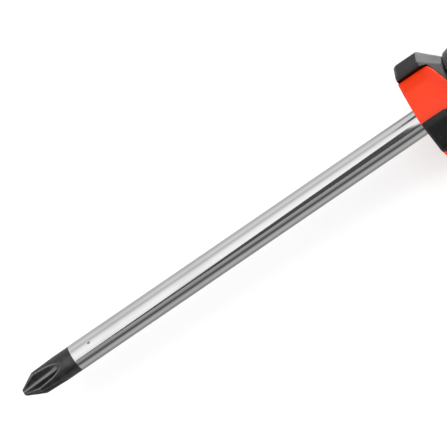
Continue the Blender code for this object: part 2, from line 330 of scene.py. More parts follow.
CARDS = (  # dark shades and bright sheens: name, radiance, and the corners in millimetres
    ("long_shade", 0.12, ((-40, -119, 100), (85, -119, 100), (85, -8, 100))),
    ("panel_shade", 0.1, ((78, 62, 100), (140, 62, 100), (140, 170, 100), (78, 170, 100))),
    ("end_sheen", 4.5, ((280, 70, -10), (280, 260, -10), (280, 260, 110), (280, 70, 110))),
    ("rear_sheen", 2.4, ((112, 28, -13), (220, 28, -13), (220, 140, -13), (112, 140, -13))),
    ("lobe_shade", 0.3, ((85, 38, -13), (106, 38, -13), (106, 120, -13), (85, 120, -13))),
)


# Mesh building


def around(x, radius, angle):
    return (x, radius * math.sin(angle), radius * math.cos(angle))


def spread(start, end, count):
    """count + 1 evenly spaced values from start to end."""
    return [start + (end - start) * i / count for i in range(count + 1)]


def even_angles(count):
    return [math.tau * i / count for i in range(count)]


def ease(part):
    part = min(max(part, 0.0), 1.0)
    return 0.5 - 0.5 * math.cos(math.pi * part)


def soft_min(a, b, width):
    """The smaller of two lengths, blended where they differ by less than width."""
    part = min(max(0.5 + 0.5 * (b - a) / width, 0.0), 1.0)
    return b + (a - b) * part - width * part * (1 - part)


def soft_max(a, b, width):
    return -soft_min(-a, -b, width)


def rounded_edge(distance, radius):
    """How far a surface drops at a distance from its border, for a quarter-round edge."""
    if distance >= radius:
        return 0.0
    part = 1 - max(distance, 0.0) / radius
    return radius * (1 - math.sqrt(1 - part**2))


def bisect(test, low, high):
    """The value between low and high at which test stops being true."""
    for _ in range(BISECT_STEPS):
        middle = (low + high) / 2
        if test(middle):
            low = middle
        else:
            high = middle
    return low


def quarter_turn(point, turn):
    x, y, z = point
    cos, sin = math.cos(turn * QUARTER), math.sin(turn * QUARTER)
    return (x, y * cos + z * sin, z * cos - y * sin)


def add_mesh(name, points, faces, sharp=SHARP_ANGLE):
    mesh = bpy.data.meshes.new(name)
    mesh.from_pydata(points, [], faces)
    mesh.validate()
    mesh.shade_smooth()
    mesh.set_sharp_from_angle(angle=sharp)
    made = bpy.data.objects.new(name, mesh)
    bpy.context.scene.collection.objects.link(made)
    return made


def add_piece(name, points, faces, node, materials, sharp=SHARP_ANGLE):
    """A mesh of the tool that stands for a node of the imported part."""
    piece = add_mesh(name, points, faces, sharp)
    for material in materials:
        piece.data.materials.append(material)
    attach(piece, "root")
    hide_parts(node)
    return piece


def skin(rings, closed=False):
    """Points and faces of a skin over equal rings, with its two ends filled, or joined if closed."""
    count = len(rings[0])
    points = [point for ring in rings for point in ring]
    faces = []
    pairs = list(zip(range(len(rings) - 1), range(1, len(rings))))
    if closed:
        pairs.append((len(rings) - 1, 0))
    for near, far in pairs:
        for i in range(count):
            j = (i + 1) % count
            faces.append((near * count + i, far * count + i, far * count + j, near * count + j))
    if not closed:
        for ring, order in ((0, 1), (len(rings) - 1, -1)):
            middle = len(points)
            points.append(tuple(sum(values) / count for values in zip(*rings[ring])))
            for i in range(count):
                edge = (ring * count + i, ring * count + (i + 1) % count)[::order]
                faces.append((middle, *edge))
    return points, faces


def round_rings(stations, angles):
    """Rings from (x, function of the angle giving the radius) stations."""
    return [[around(x, radius(a), a) for a in angles] for x, radius in stations]


def same(radius):
    return lambda angle: radius


def at(place, radius):
    """radius(place, angle) as a function of the angle alone."""
    return lambda angle: radius(place, angle)


def plate(rows):
    """Points and faces of a closed thin block: a grid of (top point, bottom point) pairs."""
    lines, columns = len(rows), len(rows[0])
    size = lines * columns
    points = [pair[side] for side in (0, 1) for row in rows for pair in row]
    faces = []
    for i in range(lines - 1):
        for j in range(columns - 1):
            top = (
                i * columns + j,
                (i + 1) * columns + j,
                (i + 1) * columns + j + 1,
                i * columns + j + 1,
            )
            faces.append(top)
            faces.append(tuple(size + index for index in reversed(top)))
    border = [i * columns for i in range(lines)]
    border += [(lines - 1) * columns + j for j in range(1, columns)]
    border += [i * columns + columns - 1 for i in range(lines - 2, -1, -1)]
    border += range(columns - 2, 0, -1)
    for here, there in zip(border, border[1:] + border[:1]):
        faces.append((there, here, size + here, size + there))
    return points, faces


def joined(parts):
    points, faces = [], []
    for part_points, part_faces in parts:
        start = len(points)
        points += part_points
        faces += [tuple(start + index for index in face) for face in part_faces]
    return points, faces


def four_round(points, faces):
    return joined([([quarter_turn(p, turn) for p in points], faces) for turn in range(4)])


def cut(piece, cutter):
    modifier = piece.modifiers.new(cutter.name, "BOOLEAN")
    modifier.operation = "DIFFERENCE"
    modifier.object = cutter
    graph = bpy.context.evaluated_depsgraph_get()
    mesh = bpy.data.meshes.new_from_object(piece.evaluated_get(graph))
    piece.modifiers.clear()
    mesh.set_sharp_from_angle(angle=SHARP_ANGLE)
    piece.data = mesh
    bpy.data.objects.remove(cutter)


# Materials


class Shader:
    """A Principled material, with short calls for the few kinds of node used here."""

    def __init__(self, name, colour, roughness, metallic=0.0, specular=0.5):
        self.material = bpy.data.materials.new(name)
        self.material.use_nodes = True
        self.nodes = self.material.node_tree.nodes
        self.links = self.material.node_tree.links
        self.shader = self.nodes["Principled BSDF"]
        self.set("Base Color", (*colour, 1.0))
        self.set("Roughness", roughness)
        self.set("Metallic", metallic)
        self.set("Specular IOR Level", specular)
        self.place = self.nodes.new("ShaderNodeTexCoord").outputs["Object"]

    def set(self, socket, value):
        self.shader.inputs[socket].default_value = value

    def link(self, output, socket):
        self.links.new(output, self.shader.inputs[socket])

    def stretched(self, scale):
        mapping = self.nodes.new("ShaderNodeMapping")
        mapping.inputs["Scale"].default_value = scale
        self.links.new(self.place, mapping.inputs["Vector"])
        return mapping.outputs["Vector"]

    def noise(self, scale, detail=3.0, stretch=(1, 1, 1)):
        """Noise with a scale in cycles for each metre."""
        node = self.nodes.new("ShaderNodeTexNoise")
        node.inputs["Scale"].default_value = scale
        node.inputs["Detail"].default_value = detail
        self.links.new(self.stretched(stretch), node.inputs["Vector"])
        return node.outputs["Fac"]

    def mapped(self, value, low, high, start=0.0, end=1.0):
        node = self.nodes.new("ShaderNodeMapRange")
        node.interpolation_type = "SMOOTHSTEP"
        for socket, number in (
            ("From Min", low),
            ("From Max", high),
            ("To Min", start),
            ("To Max", end),
        ):
            node.inputs[socket].default_value = number
        self.links.new(value, node.inputs["Value"])
        return node.outputs["Result"]

    def math(self, operation, first, second=0.0):
        node = self.nodes.new("ShaderNodeMath")
        node.operation = operation
        for socket, value in zip(node.inputs, (first, second)):
            if isinstance(value, (int, float)):
                socket.default_value = value
            else:
                self.links.new(value, socket)
        return node.outputs["Value"]

    def mixed(self, factor, colour, other):
        node = self.nodes.new("ShaderNodeMix")
        node.data_type = "RGBA"
        self.links.new(factor, node.inputs["Factor"])
        for socket, value in ((node.inputs[6], colour), (node.inputs[7], other)):
            if isinstance(value, tuple):
                socket.default_value = (*value, 1.0)
            else:
                self.links.new(value, socket)
        return node.outputs[2]

    def bump(self, *layers):
        """Bump from (height, depth in metres) layers, the first one lowest."""
        normal = None
        for height, depth in layers:
            node = self.nodes.new("ShaderNodeBump")
            node.inputs["Strength"].default_value = 1.0
            node.inputs["Distance"].default_value = depth
            self.links.new(height, node.inputs["Height"])
            if normal:
                self.links.new(normal, node.inputs["Normal"])
            normal = node.outputs["Normal"]
        self.link(normal, "Normal")


def punch_mask(shader):
    """1 in the punched dent and 0 elsewhere."""
    mark_x, mark_angle = PUNCH_MARK
    away = shader.nodes.new("ShaderNodeVectorMath")
    away.operation = "DISTANCE"
    shader.links.new(shader.place, away.inputs[0])
    away.inputs[1].default_value = around(mark_x, SHAFT_RADIUS, mark_angle)
    return shader.mapped(away.outputs["Value"], PUNCH_SIZE / 3, PUNCH_SIZE, 1.0, 0.0)


def make_chrome():
    """Bright chrome: long polishing lines, faint handling marks, and a dull floor in the dent."""
    chrome = Shader("chrome_plate", CHROME, 0.09, metallic=1.0)
    lines = chrome.noise(5000, 2.0, stretch=(0.02, 1, 1))
    smears = chrome.noise(180, 4.0, stretch=(0.4, 1, 1))
    wear = chrome.mapped(smears, 0.45, 0.75)
    chrome.link(chrome.mapped(wear, 0.0, 1.0, 0.075, 0.14), "Roughness")
    colour = chrome.mixed(wear, CHROME, DULL_CHROME)
    chrome.link(chrome.mixed(punch_mask(chrome), colour, DENT_FLOOR), "Base Color")
    chrome.bump((lines, 0.0002 * MM))
    return chrome.material


def painted_flute_highlight_mask(shader):
    """1 along the floors of the tip's flutes, where a highlight is painted, and 0 elsewhere."""
    split = shader.nodes.new("ShaderNodeSeparateXYZ")
    shader.links.new(shader.place, split.inputs["Vector"])
    angle = shader.math("ARCTAN2", split.outputs["Y"], split.outputs["Z"])
    off = shader.math("PINGPONG", shader.math("SUBTRACT", angle, FLUTE_ANGLE), QUARTER / 2)
    floor = shader.mapped(off, *FLUTE_FLOOR_ANGLES, 1.0, 0.0)
    fade = [FLUTE_END - before for before in FLUTE_FLOOR_FADE]
    length = shader.mapped(split.outputs["X"], *fade, 1.0, 0.0)
    return shader.math("MULTIPLY", floor, length)


def make_oxide():
    """Black oxide on the ground tip, with a fine grain and painted highlights: a lighter colour along
    the flutes' edges and along their floors.
    """
    oxide = Shader("black_oxide", OXIDE, 0.3, metallic=0.85)
    grain = oxide.noise(9000, 3.0)
    patches = oxide.noise(700, 3.0)
    grinding = oxide.noise(5500, 2.0, stretch=(0.05, 1, 1))
    colour = oxide.mixed(oxide.mapped(patches, 0.35, 0.7), OXIDE, PALE_OXIDE)
    # Sharp ridges and edges get a lighter colour: a painted highlight.
    pointed = oxide.nodes.new("ShaderNodeNewGeometry").outputs["Pointiness"]
    ridge_highlight = oxide.mapped(pointed, 0.505, 0.545)
    colour = oxide.mixed(ridge_highlight, colour, RIDGE_HIGHLIGHT_COLOUR)
    # The flutes' floors get a lighter colour: a painted highlight.
    oxide.link(oxide.mixed(painted_flute_highlight_mask(oxide), colour, FLUTE_FLOOR_HIGHLIGHT), "Base Color")
    oxide.link(oxide.mapped(patches, 0.3, 0.7, 0.24, 0.34), "Roughness")
    oxide.bump((grinding, 0.002 * MM), (grain, 0.0015 * MM))
    return oxide.material


def make_core_plastic():
    """Hard black plastic: satin, with a spark-eroded mould's fine texture and small rub marks."""
    plastic = Shader("core_black", CORE_BLACK, 0.3, specular=0.3)
    texture = plastic.noise(4200, 4.0)
    cloud = plastic.noise(240, 3.0)
    scuffs = plastic.mapped(plastic.noise(900, 5.0, stretch=(1, 0.15, 1)), 0.66, 0.74)
    plastic.link(plastic.mapped(cloud, 0.35, 0.7, 0.27, 0.36), "Roughness")
    plastic.link(plastic.mixed(scuffs, CORE_BLACK, CORE_SCUFF), "Base Color")
    plastic.bump((texture, 0.004 * MM))
    return plastic.material


def make_red_plastic():
    """Glossy red plastic with a little light spread under its surface, flow marks and fine dents."""
    red = Shader("shell_red", RED, 0.25, specular=0.25)
    red.set("Subsurface Weight", 0.08)
    red.set("Subsurface Radius", (1.0, 0.3, 0.15))
    red.set("Subsurface Scale", 0.8 * MM)
    flow = red.noise(90, 3.0, stretch=(0.4, 1, 1))
    dents = red.noise(700, 2.0)
    red.link(red.mixed(red.mapped(flow, 0.35, 0.7), RED, DEEP_RED), "Base Color")
    red.link(red.mapped(flow, 0.3, 0.75, 0.22, 0.3), "Roughness")
    red.bump((dents, 0.006 * MM))
    return red.material


def make_grip_rubber():
    """Soft black grip: a fine pebbled surface that catches a dull sheen and a little dust."""
    rubber = Shader("grip_black", GRIP_BLACK, 0.55, specular=0.4)
    rubber.set("Sheen Weight", 0.12)
    rubber.set("Sheen Roughness", 0.5)
    cells = rubber.nodes.new("ShaderNodeTexVoronoi")
    cells.inputs["Scale"].default_value = 2600
    rubber.links.new(rubber.place, cells.inputs["Vector"])
    dust = rubber.noise(300, 5.0)
    rubber.link(rubber.mapped(dust, 0.35, 0.7, 0.5, 0.64), "Roughness")
    rubber.link(rubber.mixed(rubber.mapped(dust, 0.5, 0.8), GRIP_BLACK, GRIP_DUST), "Base Color")
    rubber.bump((cells.outputs["Distance"], 0.02 * MM), (rubber.noise(7000, 2.0), 0.004 * MM))
    return rubber.material


def make_cap_plastic():
    """Hard black plastic, duller than the core's, with flow marks across its face."""
    plastic = Shader("cap_black", CAP_BLACK, 0.38, specular=0.45)
    rings = plastic.noise(3600, 3.0, stretch=(0.3, 1, 1))
    cloud = plastic.noise(400, 3.0)
    plastic.link(plastic.mapped(cloud, 0.3, 0.7, 0.33, 0.44), "Roughness")
    plastic.bump((rings, 0.005 * MM))
    return plastic.material


def make_floor_material():
    floor = Shader("pale_floor", FLOOR_WHITE, 0.7, specular=0.0)
    floor.set("Emission Color", (1.0, 1.0, 1.0, 1.0))
    floor.set("Emission Strength", FLOOR_GLOW)
    floor.link(floor.mapped(floor.noise(40, 3.0), 0.3, 0.7, 0.65, 0.75), "Roughness")
    return floor.material


# Blade


def flute_radius(x, off):
    """How far the steel reaches at an angle off the middle of a flute."""
    floor = FLUTE_FLOOR + x * FLUTE_SLOPE
    floor += max(0.0, x - FLUTE_BEND) ** 2 / (2 * FLUTE_BEND_RADIUS)
    centre = floor + FLUTE_ROUND
    tangent_side = FLUTE_ROUND * math.cos(FLUTE_HALF_OPENING)
    tangent_height = centre - FLUTE_ROUND * math.sin(FLUTE_HALF_OPENING)
    if off < math.atan2(tangent_side, tangent_height):
        reach = FLUTE_ROUND**2 - (centre * math.sin(off)) ** 2
        return centre * math.cos(off) - math.sqrt(max(reach, 0.0))
    apex = centre - FLUTE_ROUND / math.sin(FLUTE_HALF_OPENING)
    closing = math.cos(off) - math.sin(off) / math.tan(FLUTE_HALF_OPENING)
    return apex / closing if closing > LEAST_CLOSING else NO_FLUTE


def tip_radius(x, angle):
    cone = TIP_RADIUS + (BLACK_RADIUS - TIP_RADIUS) * x / CONE_LENGTH
    outer = soft_min(cone, BLACK_RADIUS, CONE_BLEND)
    off = abs((angle - FLUTE_ANGLE + QUARTER / 2) % QUARTER - QUARTER / 2)
    radius = soft_min(outer, flute_radius(x, off), RIDGE_ROUNDING)
    return radius - rounded_edge(x, TIP_ROUNDING)


def shaft_radius(x, angle):
    """The plated shaft, with a small punched dent."""
    mark_x, mark_angle = PUNCH_MARK
    turn = (angle - mark_angle + math.pi) % math.tau - math.pi
    distance = math.hypot(x - mark_x, turn * SHAFT_RADIUS * PUNCH_STRETCH)
    step = PLATING_STEP * (1 - ease((x - BLACK_LENGTH) / PLATING_RAMP))
    return SHAFT_RADIUS - step - PUNCH_DEPTH * (1 - ease(distance / PUNCH_SIZE))


def tang_radius(back, angle, margin=0.0):
    """The tang is round, with two flat wings along +Y and -Y that keep it from turning."""
    side = max(abs(math.sin(angle)), TINY)
    flat = max(abs(math.cos(angle)), TINY)
    wing = min((WING_HALF_SPAN + margin) / side, (WING_HALF_THICKNESS + margin) / flat)
    rise = ease((back - WING_START) / WING_RAMP) * (1 - ease((back - WING_END) / WING_RAMP))
    return SHAFT_RADIUS + margin + max(0.0, wing - SHAFT_RADIUS - margin) * rise


def bore_radius(back, angle):
    """The core's bore follows the tang."""
    return tang_radius(back, angle, BORE_MARGIN)


def make_blade(chrome, oxide):
    mark = PUNCH_MARK[0]
    tip = spread(0, TIP_FINE_LENGTH, TIP_FINE_STEPS)
    tip += spread(TIP_FINE_LENGTH, FLUTE_END, FLUTE_STEPS)[1:]
    tip += [BEHIND_FLUTES, BLACK_LENGTH]
    plated = spread(BLACK_LENGTH, BLACK_LENGTH + PLATING_FINE_LENGTH, PLATING_STEPS)[1:]
    plated.append(BEHIND_PLATING)
    plated += spread(mark - PUNCH_FINE_REACH, mark + PUNCH_FINE_REACH, PUNCH_STEPS)
    plated += spread(BEHIND_PUNCH, GUARD_X + INSIDE_GUARD, SHAFT_STEPS)
    stations = [(x, at(x, tip_radius)) for x in tip]
    stations += [(x, at(x, shaft_radius)) for x in plated]
    stations += [(GUARD_X + back, at(back, tang_radius)) for back in spread(*TANG_RINGS)]
    stations.append((TANG_END - TANG_CHAMFER, same(SHAFT_RADIUS)))
    stations.append((TANG_END, same(SHAFT_RADIUS - TANG_CHAMFER)))
    angles = [FLUTE_ANGLE + angle for angle in even_angles(ROUND_SIDES)]
    points, faces = skin(round_rings(stations, angles))
    materials = [oxide, chrome]
    blade = add_piece("blade", points, faces, "blade", materials, BLADE_SHARP_ANGLE)
    for face in blade.data.polygons:
        face.material_index = int(face.center.x > BLACK_LENGTH + TINY)


# Rings with a channel along each side, as the guard and the grip have


def wall_angle(outer, half_width):
    """The angle from a channel's middle at which the outer surface meets the channel's wall."""
    if half_width <= 0:
        return 0.0
    return bisect(lambda angle: outer(angle) * math.sin(angle) < half_width, 0.0, QUARTER / 2)


def outline_point(outer, angle):
    """The distances across and up to the outer surface at an angle."""
    radius = outer(angle)
    return (radius * math.sin(angle), radius * math.cos(angle))


def channel_ring(x, outer, half_width, floor):
    """A ring of points at x: a channel in each side, and the outer surface between the channels.

    outer gives the radius at an angle from a channel's middle, half_width is the channel's, and
    floor is how far its bottom stands from the axis.
    """
    edge = wall_angle(outer, half_width)
    radius = outer(edge)
    top = Vector(outline_point(outer, edge))
    if half_width <= 0:
        floor = radius
    turn_in = min(WALL_ROUNDING, half_width / 2)
    half = [(0.0, floor), (half_width / 2, floor), (half_width, min(floor, top.y - turn_in))]
    wall_top = Vector((top.x, top.y - turn_in))
    start_angle = edge + turn_in / radius
    outer_start = Vector(outline_point(outer, start_angle))
    for part in WALL_PARTS:
        curve = wall_top * (1 - part) ** 2 + top * 2 * part * (1 - part) + outer_start * part**2
        half.append(tuple(curve))
    corner = QUARTER / 2 - LOBE_FACE_HALF_ANGLE
    reach = corner - FACE_MARGIN
    angles = [start_angle + (reach - start_angle) * part for part in FACE_PARTS]
    angles += [corner + math.radians(offset) for offset in CORNER_OFFSETS]
    half += [outline_point(outer, angle) for angle in angles]
    middle = outer(QUARTER / 2) * math.sin(QUARTER / 2)
    quarter = half + [(middle, middle)] + [(z, y) for y, z in reversed(half[1:])]
    ring = []
    for turn in range(4):
        ring += [quarter_turn((x, y, z), turn) for y, z in quarter]
    return ring


# Guard and core


def off_lobe(angle):
    """How far an angle is from the middle of the nearest lobe."""
    return abs(angle % QUARTER - QUARTER / 2)


def lobe_radius(angle):
    """The guard's outline: a flat face on each lobe, with a bevel down each of its long sides."""
    off = off_lobe(angle)
    corner_radius = LOBE_APOTHEM / math.cos(LOBE_FACE_HALF_ANGLE)
    bevel_apothem = corner_radius * math.cos(LOBE_BEVEL_ANGLE - LOBE_FACE_HALF_ANGLE)
    face = LOBE_APOTHEM / math.cos(off)
    return soft_min(face, bevel_apothem / math.cos(LOBE_BEVEL_ANGLE - off), LOBE_ROUNDING)


def cone_radius(back):
    """The slope at the guard's back."""
    return GUARD_RADIUS - (back - GUARD_FLAT_LENGTH) * GUARD_BACK_SLOPE


def guard_radius(back, angle):
    """The bevelled front, and behind it a cone with a flat facet on each lobe."""
    bevel = FRONT_BEVEL_DEPTH * (1 - min(back / FRONT_BEVEL_LENGTH, 1.0))
    front = lobe_radius(angle) - bevel - rounded_edge(back, FRONT_ROUNDING)
    off = off_lobe(angle)
    flat = 1 - ease((off - FACET_HALF_ANGLE) / FACET_BLEND_ANGLE)
    rear = cone_radius(back) * (1 + flat * (1 / math.cos(off) - 1))
    return soft_max(soft_min(front, rear, CONE_EDGE_ROUNDING), NECK_RADIUS, NECK_BLEND)


def panel_side(back):
    """Half the panel's width, before its arch."""
    return PANEL_HALF_WIDTH + PANEL_FLARE * back


def panel_line(back):
    """The height of the panel's top along its middle."""
    fall = max(0.0, back - PANEL_BEND) ** 2 / (2 * PANEL_BEND_RADIUS)
    return PANEL_HEIGHT - back * PANEL_SLOPE - fall


def panel_height(back, y):
    in_strip = soft_max(abs(y) - PANEL_STRIP_START, 0.0, PANEL_STRIP_BLEND)
    return panel_line(back) - PANEL_STRIP_SLOPE * in_strip


def panel_end(y):
    """Where the panel runs out into the cone at the guard's back, a distance y from its middle."""
    return bisect(
        lambda back: math.hypot(panel_height(back, y), y) < cone_radius(back), 0.0, GUARD_LENGTH
    )


# Where the panel's straight side meets its arched rear end
PANEL_CORNER = bisect(lambda back: panel_end(panel_side(back)) > back, 0.0, GUARD_LENGTH)


def channel_half_width(back):
    """Half the width of the recess that holds a panel."""
    if back <= PANEL_CORNER:
        return panel_side(back) + GAP
    if back >= panel_end(0.0):
        return 0.0
    narrowed = bisect(lambda y: panel_end(y) > back, 0.0, panel_side(PANEL_CORNER))
    return narrowed + GAP * narrowed / panel_side(PANEL_CORNER)


def replace_front(faces, count, start):
    """The faces with one in each quarter round the bore's mouth, in place of its ring of small ones.

    count is the ring's number of points, and start is the number of its first one.
    """
    faces = faces[:start] + faces[start + count :]
    for turn in range(4):
        quarter = [(turn * count // 4 + i) % count for i in range(count // 4 + 1)]
        outside = [start + count + i for i in quarter]
        faces.append(tuple(outside + [start + i for i in reversed(quarter)]))
    return faces


def make_core(material):
    side = panel_side(PANEL_CORNER)
    backs = [back * MM for back in GUARD_FRONT_RINGS]
    backs += spread(GUARD_FRONT_LENGTH, PANEL_CORNER, PANEL_SIDE_STEPS)
    backs += [panel_end(side * (1 - part**2)) for part in spread(ARCH_START, 1.0, ARCH_STEPS)]
    backs += spread(panel_end(0.0) + BEHIND_ARCH, GUARD_LENGTH, CONE_STEPS)
    rings = []
    for back in backs:
        width = channel_half_width(back)
        floor = panel_line(back) - PANEL_THICKNESS
        rings.append(channel_ring(GUARD_X + back, at(back, guard_radius), width, floor))
    angles = [math.atan2(y, z) for _, y, z in rings[-1]]
    rear = [(GUARD_X + GUARD_LENGTH, same(CORE_RADIUS)), (GUARD_X + CORE_END, same(CORE_RADIUS))]
    bore = [(TANG_END + HIDDEN_GAP, same(BORE_RADIUS))]
    bore += [(GUARD_X + back, at(back, bore_radius)) for back in reversed(spread(*TANG_RINGS))]
    bore.append((GUARD_X + BORE_CHAMFER, same(BORE_RADIUS)))
    bore.append((GUARD_X, same(BORE_RADIUS + BORE_CHAMFER)))
    count = len(rings[0])
    rings = round_rings(bore, even_angles(count)) + rings + round_rings(rear, angles)
    points, faces = skin(rings)
    faces = replace_front(faces, count, (len(bore) - 1) * count)
    add_piece("handle_core", points, faces, "handle_core", [material])


# Outline shared by the grip and the shell


def outline_radius(back):
    if back < BELLY_BACK:
        part = max((back - GUARD_LENGTH) / (BELLY_BACK - GUARD_LENGTH), 0.0)
        return LIP_RADIUS + (BELLY_RADIUS - LIP_RADIUS) * math.sin(part * math.pi / 2)
    if back < WAIST_BACK:
        part = (back - BELLY_BACK) / (WAIST_BACK - BELLY_BACK)
        return BELLY_RADIUS + (WAIST_RADIUS - BELLY_RADIUS) * ease(part)
    part = min((back - WAIST_BACK) / (BULGE_BACK - WAIST_BACK), 1.0)
    radius = WAIST_RADIUS + (BULGE_RADIUS - WAIST_RADIUS) * ease(part)
    rounding = max(0.0, back - ROUND_BACK) / ROUND_LENGTH
    return radius * math.sqrt(1 - rounding**2)


def handle_radius(back, angle):
    """A circle at both ends, and squarer at the belly, with its flats on the red panels' sides."""
    along = (back - GUARD_LENGTH) / (HANDLE_LENGTH - GUARD_LENGTH)
    square = SQUARENESS * math.sin(math.pi * along)
    return outline_radius(back) * (1 - square * math.cos(4 * angle))


def grip_depth(back):
    part = (back - GUARD_LENGTH) / THICKENING_LENGTH
    return GRIP_FRONT_THICKNESS + (GRIP_THICKNESS - GRIP_FRONT_THICKNESS) * ease(part)


def window_half_width(back, margin=0.0):
    part = (back - WINDOW_MIDDLE) / (WINDOW_HALF_LENGTH + margin)
    if abs(part) >= 1:
        return 0.0
    return (WINDOW_HALF_WIDTH + margin) * (1 - part**2)


def grip_radius(back, angle):
    lip = rounded_edge(back - GRIP_START, LIP_ROUNDING)
    return handle_radius(back, angle) - lip - rounded_edge(GRIP_END - back, REAR_ROUNDING)


def lowered(back, depth):
    """The handle's outline sunk by a depth, as a function of the angle."""
    return lambda angle: handle_radius(back, angle) - depth


def make_grip(material):
    reach = WINDOW_HALF_LENGTH + GAP
    parts = spread(-1, 1, WINDOW_RING_STEPS)
    window = [WINDOW_MIDDLE + reach * math.sin(part * QUARTER) for part in parts]
    backs = [GRIP_START + back * MM for back in LIP_RINGS]
    backs += spread(GRIP_START + BEHIND_LIP, window[0] - BESIDE_WINDOW, GRIP_STEPS) + window[1:-1]
    backs += spread(window[-1] + BESIDE_WINDOW, GRIP_END - BEFORE_REAR, GRIP_STEPS)
    backs += [GRIP_END - back * MM for back in REAR_RINGS]
    rings = []
    for back in backs:
        width = window_half_width(back, GAP)
        floor = handle_radius(back, 0.0) - WINDOW_DEPTH - WINDOW_FLOOR_GAP
        rings.append(channel_ring(GUARD_X + back, at(back, grip_radius), width, floor))
    angles = [math.atan2(y, z) for _, y, z in rings[0]]
    *near, far = [GRIP_START + back for back in GRIP_INSIDE]
    inside = near + spread(far, GRIP_END, GRIP_INSIDE_STEPS)
    stations = [(GUARD_X + back, lowered(back, grip_depth(back))) for back in reversed(inside)]
    points, faces = skin(rings + round_rings(stations, angles), closed=True)
    add_piece("grip_sleeve", points, faces, "grip_sleeve", [material])


# Red shell


def panel_top(back, y):
    """The panel's top with its borders rounded."""
    side = panel_side(back) - abs(y)
    end = (panel_end(y) - back) * PANEL_END_SOFTNESS
    border = soft_min(back + PANEL_LEAD, side, PANEL_BORDER_BLEND)
    border = soft_min(border, end, PANEL_BORDER_BLEND)
    return panel_height(back, y) - rounded_edge(border, PANEL_ROUNDING)


def make_guard_panels(material):
    steps_across, steps_along = PANEL_STEPS
    across = [math.sin(part * QUARTER) for part in spread(-1, 1, steps_across)]
    along = [ease(part) for part in spread(0, 1, steps_along)]
    corner_side = panel_side(PANEL_CORNER)
    rows = []
    for part in along:
        row = []
        for side in across:
            back = part * (panel_end(side * corner_side) + PANEL_LEAD) - PANEL_LEAD
            y = side * min(panel_side(back), corner_side)
            bottom = panel_line(back) - PANEL_THICKNESS + PANEL_FLOOR_GAP
            row.append(((GUARD_X + back, y, panel_top(back, y)), (GUARD_X + back, y, bottom)))
        rows.append(row)
    points, faces = four_round(*plate(rows))
    add_piece("guard_panels", points, faces, "colour_shell", [material])


def make_windows(material):
    steps_across, steps_along = WINDOW_STEPS
    across = [math.sin(part * QUARTER) for part in spread(-1, 1, steps_across)]
    rows = []
    for part in spread(-WINDOW_TRIM, WINDOW_TRIM, steps_along):
        back = WINDOW_MIDDLE + WINDOW_HALF_LENGTH * math.sin(part * QUARTER)
        width = window_half_width(back)
        row = []
        for side in across:
            y = side * width
            angle = math.asin(y / handle_radius(back, 0.0))
            drop = rounded_edge(width - abs(y), WINDOW_ROUNDING)
            outer = handle_radius(back, angle) - drop
            inner = handle_radius(back, angle) - WINDOW_DEPTH
            row.append((around(GUARD_X + back, outer, angle), around(GUARD_X + back, inner, angle)))
        rows.append(row)
    points, faces = four_round(*plate(rows))
    add_piece("grip_windows", points, faces, "colour_shell", [material])


def make_shell(material):
    """The shell's body: the layer under the grip, and the collar that shows behind it."""
    bore = same(CORE_RADIUS + HIDDEN_GAP)
    start = GUARD_LENGTH + HIDDEN_GAP
    collar = GRIP_END + SHELL_GAP
    stations = [(GUARD_X + CORE_END + HIDDEN_GAP, bore), (GUARD_X + start, bore)]
    for back in [start] + spread(start + SHELL_FIRST_STEP, collar, SHELL_STEPS):
        stations.append((GUARD_X + back, lowered(back, grip_depth(back) + SHELL_GAP)))
    for step in COLLAR_RINGS:
        back = collar + step * MM
        stations.append((GUARD_X + back, lowered(back, rounded_edge(step * MM, COLLAR_ROUNDING))))
    rear = spread(GRIP_END + SHELL_FIRST_STEP, ROUND_BACK, COLLAR_STEPS)
    for part in spread(0, 1, END_STEPS)[1:]:
        rear.append(ROUND_BACK + (HANDLE_LENGTH - ROUND_BACK) * math.sin(part * QUARTER))
    stations += [(GUARD_X + back, at(back, handle_radius)) for back in rear]
    for before, beyond in RIM_RINGS:
        stations.append((END_X - before * MM, same(RECESS_RADIUS + beyond * MM)))
    stations.append((CAP_START - SHELL_GAP, same(RECESS_RADIUS)))
    points, faces = skin(round_rings(stations, even_angles(ROUND_SIDES)))
    shell = add_piece("colour_shell", points, faces, "colour_shell", [material])
    cut(shell, make_hole_cutter())


def make_hole_cutter():
    """A cylinder along Y that flares where it meets the collar's surface, for a rounded rim."""
    surface = handle_radius(HOLE_BACK, QUARTER)
    flare = []
    for part in spread(0, 1, HOLE_STEPS):
        angle = part * QUARTER
        y = surface - HOLE_ROUNDING * math.cos(angle)
        flare.append((y, HOLE_RADIUS + HOLE_ROUNDING * (1 - math.sin(QUARTER - angle))))
    flare.append((surface + CUTTER_MARGIN, HOLE_RADIUS + HOLE_ROUNDING + CUTTER_FLARE))
    profile = [(-y, radius) for y, radius in reversed(flare)] + flare
    middle = GUARD_X + HOLE_BACK
    rings = []
    for y, radius in profile:
        angles = even_angles(ROUND_SIDES // 2)
        rings.append([(middle + radius * math.sin(a), y, radius * math.cos(a)) for a in angles])
    points, faces = skin(rings)
    return add_mesh("hanging_hole", points, [face[::-1] for face in faces])


# End cap


def make_cap(material):
    stations = [(CAP_START, same(CAP_RADIUS))]
    for part in spread(0, 1, CAP_STEPS):
        x = END_X - CAP_ROUNDING * (1 - math.sin(part * QUARTER))
        stations.append((x, same(CAP_RADIUS - CAP_ROUNDING * (1 - math.cos(part * QUARTER)))))
    stations += [(END_X, same(radius)) for radius in CAP_FACE_RADII]
    points, faces = skin(round_rings(stations, even_angles(CAP_SIDES)))
    cap = add_piece("end_cap", points, faces, "end_cap", [material])
    for name, turn in (("cross_bar", 0), ("cross_upright", 1)):
        cut(cap, make_slot_cutter(name, turn))


